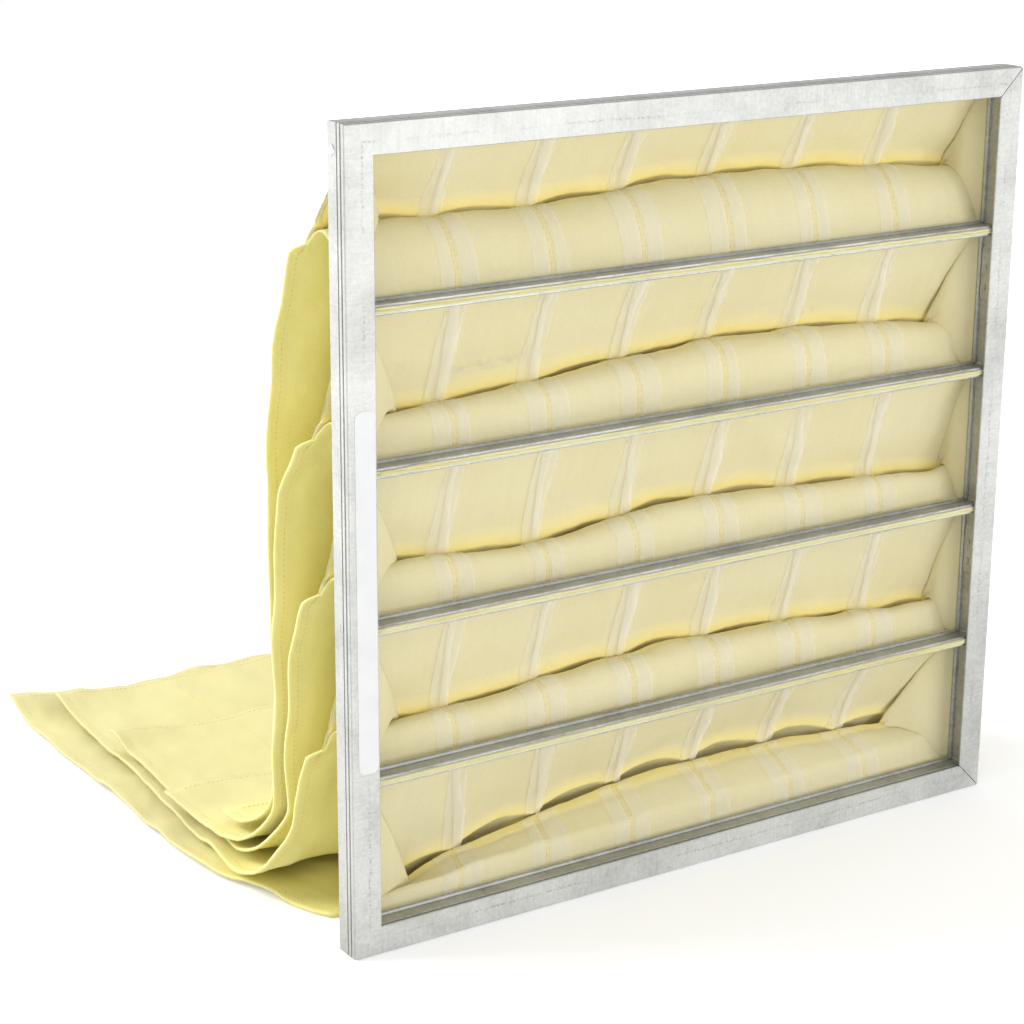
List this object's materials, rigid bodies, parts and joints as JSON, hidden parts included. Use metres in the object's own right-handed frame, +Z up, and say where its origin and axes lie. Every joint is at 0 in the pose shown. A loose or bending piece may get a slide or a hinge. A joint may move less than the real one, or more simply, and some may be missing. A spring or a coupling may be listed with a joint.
{
  "type": "bag air filter",
  "caption": "Pocket air filter: limp synthetic bags on clinched steel rings in a folded galvanised header, standing with its empty pockets fallen behind it.",
  "frame": {"origin": "middle of the flat band under the bottom rail, on the floor", "axes": "+Z up; -Y is the upstream side that the header's face looks to; +Y is downstream, where the pockets lie; X runs along the pockets' mouths, +X to the right seen from upstream"},
  "size_m": [0.5627, 0.4737, 0.492],
  "materials": {
    "galvanised_header": "galvanised steel, satin, faint spangle and roll marks",
    "ring_steel": "galvanised strip, satin, a little darker than the header",
    "rivet_metal": "plain blind rivet, satin",
    "pocket_fabric": "soft pale yellow needled synthetic media, matt, slightly translucent",
    "strip_scrim": "thin whitish non-woven strip, matt, slightly translucent",
    "label_paper": "pale grey label stock, blank"
  },
  "bodies": {
    "root": {"header_frame": "galvanised_header", "corner_rivet": "rivet_metal", "label_blank": "label_paper", "pocket_ring_1": "ring_steel", "pocket_1": "pocket_fabric", "spacer_strip_1_1": "strip_scrim", "spacer_strip_1_2": "strip_scrim", "spacer_strip_1_3": "strip_scrim", "spacer_strip_1_4": "strip_scrim", "spacer_strip_1_5": "strip_scrim", "spacer_strip_1_6": "strip_scrim", "pocket_ring_2": "ring_steel", "pocket_2": "pocket_fabric", "spacer_strip_2_1": "strip_scrim", "spacer_strip_2_2": "strip_scrim", "spacer_strip_2_3": "strip_scrim", "spacer_strip_2_4": "strip_scrim", "spacer_strip_2_5": "strip_scrim", "spacer_strip_2_6": "strip_scrim", "pocket_ring_3": "ring_steel", "pocket_3": "pocket_fabric", "spacer_strip_3_1": "strip_scrim", "spacer_strip_3_2": "strip_scrim", "spacer_strip_3_3": "strip_scrim", "spacer_strip_3_4": "strip_scrim", "spacer_strip_3_5": "strip_scrim", "spacer_strip_3_6": "strip_scrim", "pocket_ring_4": "ring_steel", "pocket_4": "pocket_fabric", "spacer_strip_4_1": "strip_scrim", "spacer_strip_4_2": "strip_scrim", "spacer_strip_4_3": "strip_scrim", "spacer_strip_4_4": "strip_scrim", "spacer_strip_4_5": "strip_scrim", "spacer_strip_4_6": "strip_scrim", "pocket_ring_5": "ring_steel", "pocket_5": "pocket_fabric", "spacer_strip_5_1": "strip_scrim", "spacer_strip_5_2": "strip_scrim", "spacer_strip_5_3": "strip_scrim", "spacer_strip_5_4": "strip_scrim", "spacer_strip_5_5": "strip_scrim", "spacer_strip_5_6": "strip_scrim"}
  },
  "joints": []
}
